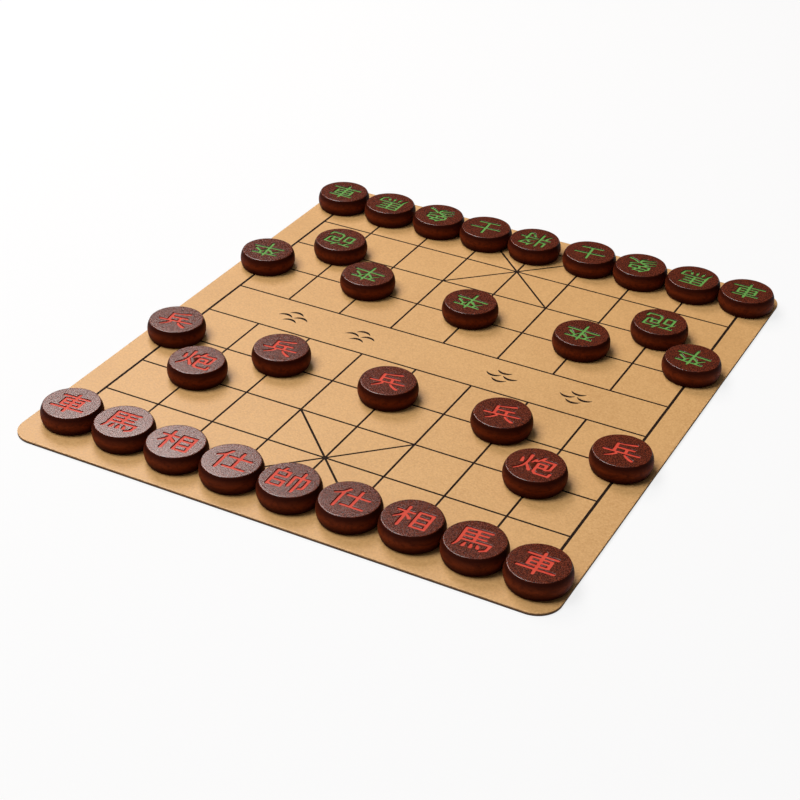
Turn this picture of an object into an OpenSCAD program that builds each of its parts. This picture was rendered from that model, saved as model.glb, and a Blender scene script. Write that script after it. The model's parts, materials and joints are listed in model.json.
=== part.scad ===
// Roll-up xiangqi board with its thirty-two playing discs, set out for the start of a game.
// Millimetres. The origin is at the middle of the board's underside, +Z up.
// The red army stands at -Y and the green army at +Y, each reading from its own side.

/* [Discs] */
// Diameter of a disc at its widest, half way up
disc_d = 40; // [32:0.5:60]
// Height of a disc
disc_h = 12.8; // [8:0.2:24]
// How far the edge of the top face stands in from the widest part
disc_taper = 1.8; // [0.6:0.1:4]
// Radius of the rounded rim round both faces
rim_r = 0.6; // [0.3:0.1:2]
// Gap between the discs of a full row
disc_gap = 1; // [0.5:0.1:12]

/* [Carved characters] */
// Width of a carved stroke on a red disc
stroke_w = 2.5; // [0.8:0.1:3]
// Width of a carved stroke on a green disc
green_stroke_w = 2.2; // [0.8:0.1:3]
// Depth of the carving below the top face
carve_depth = 0.6; // [0.3:0.1:3]
// Plain ring left between the character and the edge of the top face
glyph_margin = 3; // [0.5:0.1:5]
// Height of a character as a share of its width
glyph_aspect = 0.86; // [0.8:0.02:1.2]

/* [Board] */
// Thickness of the printed top sheet
face_t = 0.8; // [0.5:0.1:3]
// Thickness of the backing sheet
backing_t = 1.2; // [0.4:0.1:5]
// Plain border between the feet of the outer discs and the left and right edges
side_border = 2; // [2:0.5:60]
// Plain border between the feet of the red back row and the red player's edge
near_border = 17; // [10:0.5:60]
// Plain border between the feet of the green back row and the green player's edge
far_border = 4; // [2:0.5:60]
// Radius of the board's corners
corner_r = 16; // [3:1:60]

/* [Print] */
// Width of the grid lines
line_w = 1.5; // [0.5:0.1:3]
// Width of the frame round the grid
frame_w = 1.9; // [0.5:0.1:4]
// Depth to which the print is stamped into the top sheet
stamp_depth = 0.1; // [0.05:0.05:0.4]
// Length of one wave of the river ornament
wave_w = 11; // [6:0.5:16]
// Height of one wave of the river ornament
wave_h = 4; // [2:0.5:7]
// Greatest thickness of the brush line that draws a wave
wave_line = 2.2; // [1:0.1:3]

/* [Hidden] */
$fn = 96;
CUT = 1;

// Lines of the grid: nine files by ten ranks, with the river between ranks 4 and 5
LAST_FILE = 8;
LAST_RANK = 9;
RIVER_RANK = 4;
PALACE_FILES = [3, 5];
PALACE_RANKS = [0, 7];
PALACE_SPAN = 2;
// Places of the river ornaments, in grid squares from the board's centre line
RIVER_PLACES = [-2.6, -1.3, 1.3, 2.6];
// Waves in each row of an ornament, the step between rows as a share of a wave's height,
// and the gap between two waves of a row
WAVE_ROWS = [1, 2, 1];
WAVE_ROW_STEP = 1.35;
WAVE_GAP = 1.2;
// Round ends and bends of a stroke are this much wider than its straight pieces, so that their
// outlines cross instead of touching
ROUND_SHARE = 1.03;

pitch = disc_d + disc_gap;
face_top = backing_t + face_t;
foot_r = disc_d / 2 - disc_taper;
board_w = LAST_FILE * pitch + 2 * (foot_r + side_border);
board_l = LAST_RANK * pitch + 2 * foot_r + near_border + far_border;
grid_shift = (near_border - far_border) / 2;
board_corner_r = min(corner_r, board_w / 2, board_l / 2);

// The side of a disc is an arc, and the rim is a smaller arc tangent to it and to the face
half_h = disc_h / 2;
side_r = (half_h * half_h + disc_taper * disc_taper) / (2 * disc_taper);
side_x = disc_d / 2 - side_r;
rim_x = side_x + sqrt(pow(side_r - rim_r, 2) - pow(half_h - rim_r, 2));
rim_rise = side_r * (half_h - rim_r) / (side_r - rim_r);

// Characters are drawn as strokes in a square of 100 units, each a chain of straight pieces
GLYPH_BOX = [100, 100];
GLYPH_CENTRE = GLYPH_BOX / 2;
CANNON_BODY = [
    [[60, 95], [46, 68]], [[56, 82], [92, 82], [90, 44], [80, 38]],
    [[54, 63], [76, 63], [76, 42], [54, 42]], [[54, 63], [54, 18], [62, 9], [96, 9], [98, 24]]
];
GLYPHS = [
    ["chariot", [
        [[12, 84], [86, 84]], [[24, 53], [76, 53]], [[4, 20], [96, 20]], [[50, 100], [50, 0]],
        [[24, 70], [76, 70], [76, 36], [24, 36], [24, 70]]
    ]],
    ["horse", [
        [[14, 94], [14, 40], [92, 40], [88, 14], [76, 6]], [[14, 94], [80, 94]], [[14, 76], [74, 76]],
        [[14, 58], [74, 58]], [[48, 94], [48, 40]], [[14, 42], [13, 22], [7, 5]], [[32, 26], [30, 11]],
        [[48, 26], [49, 12]], [[63, 27], [67, 15]]
    ]],
    ["red_elephant", [
        [[4, 72], [46, 72]], [[26, 97], [26, 3]], [[25, 68], [17, 50], [4, 36]], [[31, 58], [43, 44]],
        [[58, 84], [94, 84], [94, 12], [58, 12], [58, 84]], [[58, 60], [94, 60]], [[58, 36], [94, 36]]
    ]],
    ["red_advisor", [
        [[33, 95], [22, 76], [4, 62]], [[24, 78], [24, 3]], [[38, 68], [97, 68]], [[66, 97], [66, 18]],
        [[40, 18], [98, 18]]
    ]],
    ["red_general", [
        [[22, 99], [17, 86]], [[5, 8], [5, 84], [38, 84], [38, 58], [5, 58]],
        [[5, 36], [40, 36], [40, 10], [5, 10]], [[57, 22], [57, 72], [96, 72], [96, 26], [88, 22]],
        [[76, 98], [76, 0]]
    ]],
    ["red_cannon", concat([
        [[25, 95], [25, 56], [18, 28], [4, 8]], [[27, 44], [42, 18]], [[7, 72], [10, 52]],
        [[42, 76], [36, 60]]
    ], CANNON_BODY)],
    ["red_soldier", [
        [[76, 95], [55, 89], [29, 85]], [[29, 85], [29, 40]], [[29, 64], [78, 64]],
        [[60, 64], [60, 40]], [[3, 40], [97, 40]], [[38, 30], [28, 18], [15, 8]],
        [[62, 30], [72, 18], [86, 8]]
    ]],
    ["green_elephant", [
        [[42, 99], [24, 80]], [[38, 92], [66, 92], [56, 78]],
        [[22, 77], [80, 77], [80, 57], [22, 57], [22, 77]], [[51, 77], [51, 57]],
        [[46, 57], [28, 44], [8, 36]], [[32, 44], [52, 34], [58, 20], [54, 8], [42, 3]],
        [[48, 32], [10, 18]], [[54, 18], [16, 3]], [[84, 46], [62, 36]], [[60, 34], [76, 17], [94, 8]]
    ]],
    ["green_advisor", [
        [[4, 57], [96, 57]], [[50, 97], [50, 13]], [[18, 13], [82, 13]]
    ]],
    ["green_general", [
        [[34, 98], [34, 2]], [[12, 92], [12, 62], [34, 62]], [[4, 40], [34, 40]],
        [[18, 40], [16, 22], [8, 6]], [[60, 99], [46, 78]], [[57, 90], [88, 90]],
        [[88, 90], [74, 66], [48, 52]], [[58, 76], [66, 70]], [[44, 40], [97, 40]],
        [[78, 54], [78, 6], [66, 8]], [[54, 28], [61, 18]]
    ]],
    ["green_cannon", concat([
        [[6, 84], [42, 84]], [[25, 84], [18, 66], [6, 50]],
        [[15, 54], [38, 54], [38, 18], [15, 18], [15, 54]]
    ], CANNON_BODY)],
    ["green_soldier", [
        [[50, 98], [50, 84]], [[12, 82], [88, 82]], [[33, 80], [24, 64], [12, 50]],
        [[30, 66], [44, 52]], [[68, 80], [64, 66], [56, 54]], [[66, 68], [86, 50]], [[4, 34], [96, 34]],
        [[50, 82], [50, 0]]
    ]]
];
function from_centre(p) = [p[0] - GLYPH_CENTRE[0], (p[1] - GLYPH_CENTRE[1]) * glyph_aspect];
glyph_reach = max([for (g = GLYPHS) for (s = g[1]) for (p = s) norm(from_centre(p))]);
function glyph_scale(w) = (foot_r - glyph_margin - ROUND_SHARE * w / 2) / glyph_reach;

// One army: kind of disc, its files from left to right, and its rank counted from its own edge
ARMY = [
    ["chariot", [0, 8], 0], ["horse", [1, 7], 0], ["elephant", [2, 6], 0], ["advisor", [3, 5], 0],
    ["general", [4], 0], ["cannon", [1, 7], 2], ["soldier", [0, 2, 4, 6, 8], 3]
];
COLOURS = ["red", "green"];
SHARED_GLYPHS = ["chariot", "horse"];
// How each disc was set down by hand, in the order of the army's files: right of its crossing,
// beyond it, and its turn in degrees
PLACED = [
    ["red_chariot", [[5.6, -1.7, 3.5], [0, -7, 1]]],
    ["red_horse", [[4.9, -2.9, 3], [0.7, -4.9, 3]]],
    ["red_elephant", [[4.2, -5.2, 3], [1.4, -4, 1]]],
    ["red_advisor", [[3.5, -6.2, 2], [2.1, -5.8, 0]]],
    ["red_general", [[2.8, -6.3, 2]]],
    ["red_cannon", [[2.6, 0.9, 3], [-0.2, -0.3, 0]]],
    ["red_soldier", [[1.7, -1.7, 8], [0.7, 1.9, 5], [0.1, 0.5, 6], [-1.4, 2.3, 6], [-1.5, -0.2, 2]]],
    ["green_chariot", [[-0.2, -9.4, 0], [0.2, -5.3, 0]]],
    ["green_horse", [[-0.1, -9.4, 0], [0.9, -5.9, -3]]],
    ["green_elephant", [[0.7, -8.4, 0], [1.6, -6.8, 3]]],
    ["green_advisor", [[0, -8.7, 3], [2.3, -7.1, 4]]],
    ["green_general", [[-0.7, -8.7, 0]]],
    ["green_cannon", [[-2.5, -2.1, -3], [2.9, 1.3, -2]]],
    ["green_soldier", [[0.5, -3.1, 6], [0, 1.1, -3], [-0.1, 1.3, -3], [2.9, -0.2, -2], [-2, 6.6, -5]]]
];
// Sideways places shrink with the gap, so that a pushed-together row never overlaps
squeeze = min(1, disc_gap);

function ending(count, i) = count == 1 ? "" : count == 2 ? ["_left", "_right"][i] : str("_", i + 1);
function is_shared(kind) = len([for (s = SHARED_GLYPHS) if (s == kind) s]) > 0;
function glyph_name(colour, kind) = is_shared(kind) ? kind : str(colour, "_", kind);
function strokes_of(name) = [for (g = GLYPHS) if (g[0] == name) g[1]][0];
function placed(name, i) = [for (p = PLACED) if (p[0] == name) p[1][i]][0];
function at(file, rank) = [
    (file - LAST_FILE / 2) * pitch,
    (rank - LAST_RANK / 2) * pitch + grid_shift
];

// Every disc: node name, colour, character, its crossing on the grid, and how it was set down
PIECES = [
    for (colour = COLOURS) for (row = ARMY) for (i = [0:len(row[1]) - 1])
        [
            str(colour, "_", row[0], ending(len(row[1]), i)), colour, glyph_name(colour, row[0]),
            row[1][i], colour == "red" ? row[2] : LAST_RANK - row[2],
            placed(str(colour, "_", row[0]), i)
        ]
];

// A straight piece of print or carving from a to b, w wide, that runs past both ends by "over"
module bar(a, b, w, over = 0) {
    along = b - a;
    translate(a) rotate(atan2(along[1], along[0]))
        translate([-over, -w / 2]) square([norm(along) + 2 * over, w]);
}

module board_outline() {
    inner = [board_w / 2 - board_corner_r, board_l / 2 - board_corner_r];
    square([board_w, 2 * inner[1]], center = true);
    square([2 * inner[0], board_l], center = true);
    for (x = [-1, 1], y = [-1, 1])
        translate([x * inner[0], y * inner[1]]) circle(r = board_corner_r);
}

module grid_lines() {
    for (rank = [1:LAST_RANK - 1]) bar(at(0, rank), at(LAST_FILE, rank), line_w);
    for (file = [1:LAST_FILE - 1]) {
        bar(at(file, 0), at(file, RIVER_RANK), line_w);
        bar(at(file, RIVER_RANK + 1), at(file, LAST_RANK), line_w);
    }
    for (file = [0, LAST_FILE]) bar(at(file, 0), at(file, LAST_RANK), frame_w, frame_w / 2);
    for (rank = [0, LAST_RANK]) bar(at(0, rank), at(LAST_FILE, rank), frame_w, frame_w / 2);
}

module palace_crosses() {
    for (rank = PALACE_RANKS) {
        bar(at(PALACE_FILES[0], rank), at(PALACE_FILES[1], rank + PALACE_SPAN), line_w);
        bar(at(PALACE_FILES[1], rank), at(PALACE_FILES[0], rank + PALACE_SPAN), line_w);
    }
}

// A crescent: the part of a larger disc's edge that stands over a chord, pointed at both ends
module wave() {
    outer_r = (wave_w * wave_w / 4 + wave_h * wave_h) / (2 * wave_h);
    low_h = wave_h - wave_line;
    low_r = (wave_w * wave_w / 4 + low_h * low_h) / (2 * low_h);
    difference() {
        translate([0, wave_h - outer_r]) circle(r = outer_r);
        translate([0, low_h - low_r]) circle(r = low_r);
    }
}

module river_ornament() {
    middle = (len(WAVE_ROWS) - 1) / 2;
    for (row = [0:len(WAVE_ROWS) - 1], i = [0:WAVE_ROWS[row] - 1])
        translate([
            (i - (WAVE_ROWS[row] - 1) / 2) * (wave_w + WAVE_GAP),
            (middle - row) * wave_h * WAVE_ROW_STEP - wave_h / 2
        ]) wave();
}

module print() {
    grid_lines();
    palace_crosses();
    for (place = RIVER_PLACES)
        translate(at(LAST_FILE / 2 + place, LAST_RANK / 2))
            rotate(place < 0 ? 0 : 180) river_ornament();
}

module board_backing() {
    color("saddlebrown") linear_extrude(backing_t) board_outline();
}

module board_face() {
    color("burlywood") difference() {
        translate([0, 0, backing_t]) linear_extrude(face_t) board_outline();
        translate([0, 0, face_top - stamp_depth]) linear_extrude(stamp_depth + CUT) print();
    }
}

// Half of a disc's section: flat faces, rounded rims and a bulging side
module disc_section() {
    square([rim_x, disc_h]);
    for (z = [rim_r, disc_h - rim_r]) translate([rim_x, z]) circle(r = rim_r);
    intersection() {
        translate([side_x, half_h]) circle(r = side_r);
        translate([0, half_h - rim_rise]) square([disc_d, 2 * rim_rise]);
    }
}

module stroke(points, w) {
    for (i = [0:len(points) - 2]) bar(points[i], points[i + 1], w);
    for (p = points) translate(p) circle(d = ROUND_SHARE * w);
}

module glyph(name, w) {
    for (s = strokes_of(name)) stroke([for (p = s) from_centre(p) * glyph_scale(w)], w);
}

module disc(piece) {
    off = piece[5];
    translate(concat(at(piece[3], piece[4]) + [off[0] * squeeze, off[1]], face_top))
        rotate((piece[1] == "red" ? 0 : 180) + off[2])
            color("maroon") difference() {
                rotate_extrude() intersection() {
                    disc_section();
                    square([disc_d, disc_h]);
                }
                translate([0, 0, disc_h - carve_depth])
                    linear_extrude(carve_depth + CUT)
                        glyph(piece[2], piece[1] == "red" ? stroke_w : green_stroke_w);
            }
}

board_backing();
board_face();
for (piece = PIECES) disc(piece);
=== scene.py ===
"""A xiangqi board of artificial leather with thirty-two carved and painted wooden discs.

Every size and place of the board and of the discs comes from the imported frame. This script gives them
their finish: a printed tan sheet bonded to a dark napped backing, and turned, stained discs whose
characters are cut with round-ended strokes and filled with paint.
"""

from __future__ import annotations

import json
import logging
import math
from collections.abc import Iterable, Sequence
from dataclasses import dataclass, field
from enum import Enum

import bpy
from mathutils import Matrix, Vector
from mathutils.geometry import interpolate_bezier

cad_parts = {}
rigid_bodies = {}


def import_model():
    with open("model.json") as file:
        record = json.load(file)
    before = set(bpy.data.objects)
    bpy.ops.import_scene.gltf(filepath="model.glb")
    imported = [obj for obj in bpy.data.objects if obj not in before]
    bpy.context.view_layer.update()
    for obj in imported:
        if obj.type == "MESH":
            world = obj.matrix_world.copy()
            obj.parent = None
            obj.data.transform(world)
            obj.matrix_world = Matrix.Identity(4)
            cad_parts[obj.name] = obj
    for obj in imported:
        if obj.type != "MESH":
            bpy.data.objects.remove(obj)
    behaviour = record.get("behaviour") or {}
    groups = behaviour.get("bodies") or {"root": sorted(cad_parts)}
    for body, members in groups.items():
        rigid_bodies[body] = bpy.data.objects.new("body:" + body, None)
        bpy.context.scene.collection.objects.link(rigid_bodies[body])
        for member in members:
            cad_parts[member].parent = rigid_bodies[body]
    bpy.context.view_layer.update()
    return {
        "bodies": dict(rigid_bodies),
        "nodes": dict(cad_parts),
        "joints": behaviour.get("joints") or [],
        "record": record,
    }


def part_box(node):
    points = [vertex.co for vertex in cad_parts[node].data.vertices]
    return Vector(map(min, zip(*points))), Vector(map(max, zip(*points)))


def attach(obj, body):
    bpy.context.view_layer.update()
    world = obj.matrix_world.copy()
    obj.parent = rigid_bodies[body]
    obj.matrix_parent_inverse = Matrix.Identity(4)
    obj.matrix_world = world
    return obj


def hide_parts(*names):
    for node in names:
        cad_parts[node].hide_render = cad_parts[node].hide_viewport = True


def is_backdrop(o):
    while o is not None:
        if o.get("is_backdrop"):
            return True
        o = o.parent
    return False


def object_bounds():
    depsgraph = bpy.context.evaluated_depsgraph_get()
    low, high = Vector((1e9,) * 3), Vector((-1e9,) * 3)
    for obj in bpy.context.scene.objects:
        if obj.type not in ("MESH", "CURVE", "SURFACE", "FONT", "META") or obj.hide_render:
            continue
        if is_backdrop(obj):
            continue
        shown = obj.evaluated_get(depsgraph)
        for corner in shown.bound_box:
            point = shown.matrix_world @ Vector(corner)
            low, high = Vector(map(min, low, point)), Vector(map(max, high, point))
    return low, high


LOG = logging.getLogger("board_set")
MM = 0.001
BOARD_BODY = "board"
WELD = 1e-6
OWN_NUMBER = "own_number"
GOLDEN = 0.618034
COMPARED_INPUTS = {"FLOAT": (0, 1), "INT": (2, 3)}

Colour = tuple[float, float, float]
Point = tuple[float, float]
Socket = bpy.types.NodeSocket
Wire = object
WHITE: Colour = (1.0, 1.0, 1.0)


def opaque(colour: Colour) -> tuple[float, float, float, float]:
    """The colour with a full alpha."""
    return (*colour, 1.0)


def in_scene(name: str, data: bpy.types.ID) -> bpy.types.Object:
    """A new object, put into the scene.

    Args:
        name: Its name.
        data: Its mesh, lamp or camera.

    Returns:
        The object.
    """
    thing = bpy.data.objects.new(name, data)
    bpy.context.scene.collection.objects.link(thing)
    return thing


class Graph:
    """A node tree under construction."""

    def __init__(self, tree: bpy.types.NodeTree) -> None:
        """Starts with an existing tree.

        Args:
            tree: The tree that nodes are added to.
        """
        self.tree = tree

    def add(
        self, kind: str, wires: dict[str | int, Wire] | None = None, **settings: object
    ) -> bpy.types.Node:
        """Adds a node.

        Args:
            kind: The node's type name.
            wires: What goes into its inputs, each a socket to link, a list of sockets or a value.
            **settings: The node's own properties.

        Returns:
            The new node.
        """
        node = self.tree.nodes.new(kind)
        for name, value in settings.items():
            setattr(node, name, value)
        for name, value in (wires or {}).items():
            for one in value if isinstance(value, list) else [value]:
                self.wire(node.inputs[name], one)
        return node

    def made(self, kind: str, wires: dict[str | int, Wire] | None = None, **settings: object) -> Socket:
        """The first output of a new node."""
        return self.add(kind, wires, **settings).outputs[0]

    def wire(self, socket: Socket, value: Wire) -> None:
        """Links a socket to another one, or gives it a value.

        Args:
            socket: The input.
            value: The output to link it to, or its value.
        """
        if isinstance(value, Socket):
            self.tree.links.new(value, socket)
        else:
            socket.default_value = value

    def math(self, operation: str, *values: Wire) -> Socket:
        """The result of a math node on one to three values."""
        return self.made("ShaderNodeMath", dict(enumerate(values)), operation=operation)

    def vector_math(self, operation: str, *values: Wire) -> Socket:
        """The vector result of a vector math node on one to three vectors."""
        return self.made("ShaderNodeVectorMath", dict(enumerate(values)), operation=operation)

    def vector(self, x: Wire = 0.0, y: Wire = 0.0, z: Wire = 0.0) -> Socket:
        """A vector put together from three values."""
        return self.made("ShaderNodeCombineXYZ", {0: x, 1: y, 2: z})

    def upward(self, vector: Wire) -> Socket:
        """The Z part of a vector."""
        return self.add("ShaderNodeSeparateXYZ", {0: vector}).outputs["Z"]


class GeometryGraph(Graph):
    """A geometry node tree with named inputs, which turns one skeleton mesh into a finished piece."""

    def __init__(self, name: str) -> None:
        """Makes the tree with its skeleton input and its geometry output.

        Args:
            name: The tree's name.
        """
        super().__init__(bpy.data.node_groups.new(name, "GeometryNodeTree"))
        self.tree.interface.new_socket("Skeleton", in_out="INPUT", socket_type="NodeSocketGeometry")
        self.tree.interface.new_socket("Piece", in_out="OUTPUT", socket_type="NodeSocketGeometry")
        self.start = self.add("NodeGroupInput")
        self.skeleton = self.start.outputs["Skeleton"]

    def input(self, name: str, kind: str = "NodeSocketFloat") -> Socket:
        """Adds a named input and returns the socket that carries its value inside the tree."""
        self.tree.interface.new_socket(name, in_out="INPUT", socket_type=kind)
        return self.start.outputs[name]

    def named(self, name: str) -> Socket:
        """The value of a number stored on the skeleton's points."""
        return self.made("GeometryNodeInputNamedAttribute", {"Name": name}, data_type="FLOAT")

    def test(self, operation: str, first: Wire, second: Wire, kind: str = "FLOAT") -> Socket:
        """Whether a comparison of two numbers holds."""
        wires = dict(zip(COMPARED_INPUTS[kind], (first, second)))
        return self.made("FunctionNodeCompare", wires, data_type=kind, operation=operation)

    def joined(self, *parts: Socket) -> Socket:
        """Several geometries as one."""
        return self.made("GeometryNodeJoinGeometry", {0: list(parts)})

    def moved(self, geometry: Socket, by: Wire) -> Socket:
        """The geometry shifted by a vector."""
        wires = {"Geometry": geometry, "Translation": by}
        return self.made("GeometryNodeTransform", wires)

    def line(self, start: Wire, end: Wire) -> Socket:
        """A straight curve between two points."""
        return self.made("GeometryNodeCurvePrimitiveLine", {"Start": start, "End": end})

    def arc(self, steps: int, radius: Wire, start: Wire, sweep: Wire) -> Socket:
        """An arc round the origin in the XY plane."""
        wires = {"Resolution": steps, "Radius": radius, "Start Angle": start, "Sweep Angle": sweep}
        return self.made("GeometryNodeCurveArc", wires, mode="RADIUS")

    def solid(self, path: Wire, profile: Wire, height: Wire) -> Socket:
        """A solid whose wall runs along a flat closed path, between two flat faces.

        Args:
            path: The path, in the XY plane.
            profile: The section of the wall, x outwards from the path and y up.
            height: The height of the upper face, with the lower one at zero.

        Returns:
            The solid, with its faces pointing outwards.
        """
        upright = self.made("GeometryNodeTransform", {"Geometry": profile, "Scale": (1.0, -1.0, 1.0)})
        inward = self.made("GeometryNodeCurveToMesh", {"Curve": path, "Profile Curve": upright})
        wall = self.made("GeometryNodeFlipFaces", {"Mesh": inward})
        cap = self.made("GeometryNodeFillCurve", {"Curve": path}, mode="NGONS")
        bottom = self.made("GeometryNodeFlipFaces", {"Mesh": cap})
        shell = self.joined(wall, self.moved(cap, self.vector(z=height)), bottom)
        return self.made("GeometryNodeMergeByDistance", {"Geometry": shell, "Distance": WELD})

    def painted(self, geometry: Wire, material: Wire, where: Wire = True) -> Socket:
        """The geometry with a material on the faces that a selection names."""
        wires = {"Geometry": geometry, "Selection": where, "Material": material}
        return self.made("GeometryNodeSetMaterial", wires)

    def boolean(self, operation: str, first: Wire, second: Wire) -> Socket:
        """The union of two solids, or the first without the others.

        Args:
            operation: UNION or DIFFERENCE.
            first: The first solid.
            second: The other solid, or a list of solids.

        Returns:
            The combined solid.
        """
        others = second if isinstance(second, list) else [second]
        wires = {"Mesh 2": [first, *others]} if operation == "UNION" else {"Mesh 1": first, "Mesh 2": others}
        return self.made("GeometryNodeMeshBoolean", wires, operation=operation, solver="MANIFOLD")

    def swept(self, bit: Socket, scale: Wire) -> Socket:
        """The space that a bit cuts as it runs along every edge of the skeleton.

        Args:
            bit: A convex solid that is put on both ends of an edge and wrapped into one.
            scale: The vector that scales it, a field on the skeleton's points.

        Returns:
            One solid, the union of all runs.
        """
        size = self.add("GeometryNodeAttributeDomainSize", {0: self.skeleton})
        enter = self.add("GeometryNodeRepeatInput", {"Iterations": size.outputs["Edge Count"]})
        leave = self.add("GeometryNodeRepeatOutput")
        enter.pair_with_output(leave)
        index = self.made("GeometryNodeInputIndex")
        is_turn = self.test("EQUAL", index, enter.outputs["Iteration"], "INT")
        run = {"Geometry": self.skeleton, "Selection": is_turn}
        edge = self.add("GeometryNodeSeparateGeometry", run, domain="EDGE").outputs["Selection"]
        ends = {"Points": edge, "Instance": bit, "Scale": scale}
        placed = self.made("GeometryNodeInstanceOnPoints", ends)
        solid = self.made("GeometryNodeRealizeInstances", {0: placed})
        hull = self.made("GeometryNodeConvexHull", {0: solid})
        self.wire(leave.inputs[0], self.boolean("UNION", enter.outputs["Geometry"], hull))
        return leave.outputs[0]

    def cut(self, solid: Wire, cutters: dict[Wire, Wire]) -> Socket:
        """A painted solid with cutters taken from it, whose cuts show the cutters' materials."""
        dressed = [self.painted(cutter, own) for cutter, own in cutters.items()]
        return self.boolean("DIFFERENCE", solid, dressed)

    def finish(self, geometry: Wire, material: Wire, where: Wire = True) -> None:
        """Ends the tree with real geometry, and with a material on the faces that a selection names."""
        geometry = self.made("GeometryNodeRealizeInstances", {0: geometry})
        self.add("NodeGroupOutput", {0: self.painted(geometry, material, where)})

    def build(self, skeleton: bpy.types.Mesh, values: dict[str, Wire]) -> bpy.types.Mesh:
        """Runs the tree on a skeleton.

        Args:
            skeleton: The mesh that the tree starts from.
            values: A value for each named input.

        Returns:
            The finished plain mesh.
        """
        maker = in_scene("maker", skeleton)
        modifier = maker.modifiers.new("maker", "NODES")
        modifier.node_group = self.tree
        for item in self.tree.interface.items_tree:
            if item.in_out == "INPUT" and item.name in values:
                modifier[item.identifier] = values[item.name]
        evaluated = maker.evaluated_get(bpy.context.evaluated_depsgraph_get())
        mesh = bpy.data.meshes.new_from_object(evaluated)
        maker.modifiers.remove(modifier)
        bpy.data.objects.remove(maker)
        while mesh.materials and mesh.materials[0] is None:
            mesh.materials.pop(index=0)
        return mesh


class Finish(Graph):
    """A material under construction, with its surface shader ready."""

    def __init__(self, name: str) -> None:
        """Makes an empty material with a principled surface.

        Args:
            name: The material's name.
        """
        self.material = bpy.data.materials.new(name)
        self.material.use_nodes = True
        super().__init__(self.material.node_tree)
        self.tree.nodes.clear()
        self.surface = self.add("ShaderNodeBsdfPrincipled")
        self.output = self.add("ShaderNodeOutputMaterial", {"Surface": self.surface.outputs[0]})
        self.place = self.add("ShaderNodeTexCoord").outputs["Object"]

    def noise(self, scale: float, detail: float, rough: float, place: Wire = None) -> Socket:
        """A noise pattern from 0 to 1, with scale in features a metre."""
        wires = {"Vector": place or self.place, "Scale": scale, "Detail": detail, "Roughness": rough}
        return self.add("ShaderNodeTexNoise", wires).outputs["Fac"]

    def pebbles(self, scale: float) -> Socket:
        """A pattern of soft round pebbles, with scale in pebbles a metre."""
        wires = {"Vector": self.place, "Scale": scale}
        return self.add("ShaderNodeTexVoronoi", wires, feature="SMOOTH_F1").outputs["Distance"]

    def spread(self, value: Wire, low: float, high: float, to_low: float = 0.0, to_high: float = 1.0) -> Wire:
        """A value carried from one range to another, and held inside it."""
        return self.made("ShaderNodeMapRange", {0: value, 1: low, 2: high, 3: to_low, 4: to_high})

    def mix(self, share: Wire, first: Wire, second: Wire) -> Socket:
        """Two colours mixed.

        Args:
            share: The share of the second colour, from 0 to 1.
            first: The first colour, or the socket that carries it.
            second: The second, the same way.

        Returns:
            The mixed colour.
        """
        colours = [opaque(c) if isinstance(c, tuple) else c for c in (first, second)]
        wires = {0: share, 6: colours[0], 7: colours[1]}
        return self.add("ShaderNodeMix", wires, data_type="RGBA").outputs[2]

    def relief(self, height: Wire, depth: float) -> Socket:
        """A bumped normal, with the depth of the relief in metres."""
        return self.made("ShaderNodeBump", {"Height": height, "Distance": depth, "Strength": 1.0})

    def set(self, **inputs: Wire) -> bpy.types.Material:
        """Gives the surface shader its inputs.

        Args:
            **inputs: The value or the socket for each, with underscores for the spaces in its name.

        Returns:
            The material.
        """
        for name, value in inputs.items():
            value = opaque(value) if isinstance(value, tuple) else value
            self.wire(self.surface.inputs[name.replace("_", " ")], value)
        return self.material


@dataclass(frozen=True)
class TanLeather:
    """Matt artificial leather: a fine sandy grain over faint, wide clouding."""

    colour: Colour = (0.795, 0.458, 0.168)
    deep: Colour = (0.530, 0.270, 0.080)
    grain_size: float = 1.3 * MM
    grain_depth: float = 0.09 * MM
    clouds_a_metre: float = 14.0
    roughness: float = 0.50

    def material(self) -> bpy.types.Material:
        """Builds the material.

        Returns:
            The material.
        """
        f = Finish("tan_leather")
        pebbles = f.pebbles(1 / self.grain_size)
        dust = f.noise(0.9 / self.grain_size, 3.0, 0.65)
        clouds = f.noise(self.clouds_a_metre, 4.0, 0.55)
        speckle = f.spread(dust, 0.32, 0.66, 0.52, 0.0)
        cloud = f.spread(clouds, 0.35, 0.7, 0.0, 0.18)
        colour = f.mix(f.math("ADD", speckle, cloud), self.colour, self.deep)
        height = f.math("ADD", pebbles, f.math("MULTIPLY", dust, 0.8))
        rough = f.spread(dust, 0.3, 0.7, self.roughness - 0.06, self.roughness + 0.08)
        normal = f.relief(height, self.grain_depth)
        return f.set(Base_Color=colour, Roughness=rough, Normal=normal, Specular_IOR_Level=0.85)


@dataclass(frozen=True)
class CutLeather:
    """The cut edge of the top sheet: its fibres, darker and rougher than the coated surface."""

    colour: Colour = (0.430, 0.225, 0.090)
    deep: Colour = (0.240, 0.115, 0.045)
    fibre_size: float = 0.4 * MM
    fibre_depth: float = 0.08 * MM

    def material(self) -> bpy.types.Material:
        """Builds the material.

        Returns:
            The material.
        """
        f = Finish("cut_leather")
        fibres = f.noise(1 / self.fibre_size, 4.0, 0.7)
        colour = f.mix(f.spread(fibres, 0.35, 0.65), self.deep, self.colour)
        normal = f.relief(fibres, self.fibre_depth)
        return f.set(Base_Color=colour, Roughness=0.9, Normal=normal, Specular_IOR_Level=0.2)


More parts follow.
